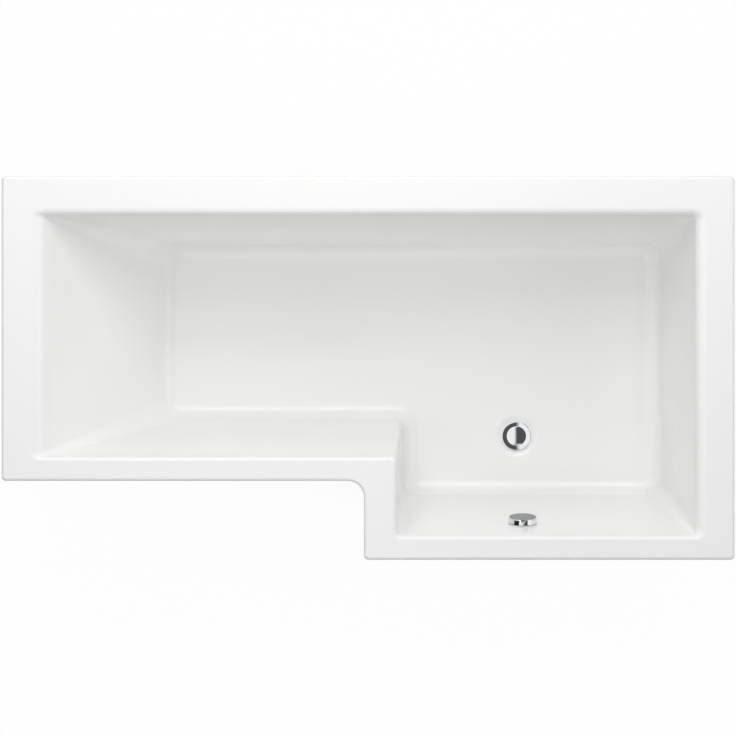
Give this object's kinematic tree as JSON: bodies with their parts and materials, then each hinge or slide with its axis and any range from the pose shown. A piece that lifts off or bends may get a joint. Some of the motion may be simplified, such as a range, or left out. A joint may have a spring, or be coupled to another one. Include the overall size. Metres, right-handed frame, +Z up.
{
  "type": "shower bath",
  "caption": "White acrylic shower bath with a wide square shower end, a sloped backrest, a pop-up waste worked by a knob on the overflow, a bonded base board and levelling feet",
  "frame": {"origin": "floor level under the middle of the bath's bounding box", "axes": "+X along the bath to the shower end, +Y to the wall along the bath's back, +Z up"},
  "size_m": [1.7, 0.89, 0.56],
  "materials": {
    "acrylic": "polished",
    "chrome": "polished",
    "zinc_steel": "zinc plated",
    "stainless": "turned",
    "chipboard": "resin sealed",
    "black_plastic": "moulded",
    "white_plastic": "moulded",
    "rubber_seal": "moulded",
    "grey_hose": "ribbed",
    "cable_sheath": "extruded"
  },
  "bodies": {
    "bath": {"bath_shell": "acrylic", "waste_flange": "chrome", "support_rail_head": "zinc_steel", "support_rail_middle": "zinc_steel", "support_rail_shower": "zinc_steel", "rail_screws": "zinc_steel", "foot_lock_nuts": "zinc_steel", "lever_pin": "stainless", "overflow_screws": "stainless", "base_board": "chipboard", "cable_gland": "black_plastic", "waste_body": "white_plastic", "trap_body": "white_plastic", "trap_nut": "white_plastic", "outlet_nut": "white_plastic", "outlet_spigot": "white_plastic", "overflow_body": "white_plastic", "cable_box_cover": "white_plastic", "overflow_rosette": "white_plastic", "hose_nut_top": "white_plastic", "hose_nut_bottom": "white_plastic", "waste_top_gasket": "rubber_seal", "waste_bottom_gasket": "rubber_seal", "overflow_gasket": "rubber_seal", "overflow_hose": "grey_hose", "control_cable": "cable_sheath"},
    "overflow_control": {"overflow_knob": "chrome", "knob_spindle": "stainless", "cable_drum": "black_plastic"},
    "plug_set": {"plug": "chrome", "plug_seal": "rubber_seal"},
    "plug_lever": {"lift_lever": "black_plastic"},
    "core_end": {"cable_core_end": "stainless"},
    "levelling_foot_1": {"foot_stud_1": "zinc_steel", "foot_pad_1": "black_plastic"},
    "levelling_foot_2": {"foot_stud_2": "zinc_steel", "foot_pad_2": "black_plastic"},
    "levelling_foot_3": {"foot_stud_3": "zinc_steel", "foot_pad_3": "black_plastic"},
    "levelling_foot_4": {"foot_stud_4": "zinc_steel", "foot_pad_4": "black_plastic"},
    "levelling_foot_5": {"foot_stud_5": "zinc_steel", "foot_pad_5": "black_plastic"},
    "levelling_foot_6": {"foot_stud_6": "zinc_steel", "foot_pad_6": "black_plastic"}
  },
  "joints": [
    {"name": "knob_turn", "type": "hinge", "parent": "bath", "child": "overflow_control", "pos_m": [0.364, -0.36556, 0.445], "axis": [0, 0.9781, 0.2079], "range_deg": [0, 90]},
    {"name": "plug_lift", "type": "slide", "parent": "bath", "child": "plug_set", "axis": [0, 0, 1], "range_m": [0, 0.0099]},
    {"name": "lever_swing", "type": "hinge", "parent": "bath", "child": "plug_lever", "pos_m": [0.37961, -0.167, 0.1105], "axis": [0, 1, 0], "range_deg": [0, 36.05]},
    {"name": "core_push", "type": "slide", "parent": "bath", "child": "core_end", "axis": [-1, 0, 0], "range_m": [0, 0.00866]},
    {"name": "foot_1_level", "type": "slide", "parent": "bath", "child": "levelling_foot_1", "axis": [0, 0, -1], "range_m": [-0.005, 0.04]},
    {"name": "foot_2_level", "type": "slide", "parent": "bath", "child": "levelling_foot_2", "axis": [0, 0, -1], "range_m": [-0.005, 0.04]},
    {"name": "foot_3_level", "type": "slide", "parent": "bath", "child": "levelling_foot_3", "axis": [0, 0, -1], "range_m": [-0.005, 0.04]},
    {"name": "foot_4_level", "type": "slide", "parent": "bath", "child": "levelling_foot_4", "axis": [0, 0, -1], "range_m": [-0.005, 0.04]},
    {"name": "foot_5_level", "type": "slide", "parent": "bath", "child": "levelling_foot_5", "axis": [0, 0, -1], "range_m": [-0.005, 0.04]},
    {"name": "foot_6_level", "type": "slide", "parent": "bath", "child": "levelling_foot_6", "axis": [0, 0, -1], "range_m": [-0.005, 0.04]}
  ],
  "couplings": [
    {"joint": "plug_lift", "follows": "knob_turn", "m_per_rad": 0.0062952},
    {"joint": "lever_swing", "follows": "knob_turn", "ratio": 0.4},
    {"joint": "core_push", "follows": "knob_turn", "m_per_rad": 0.0055083}
  ]
}
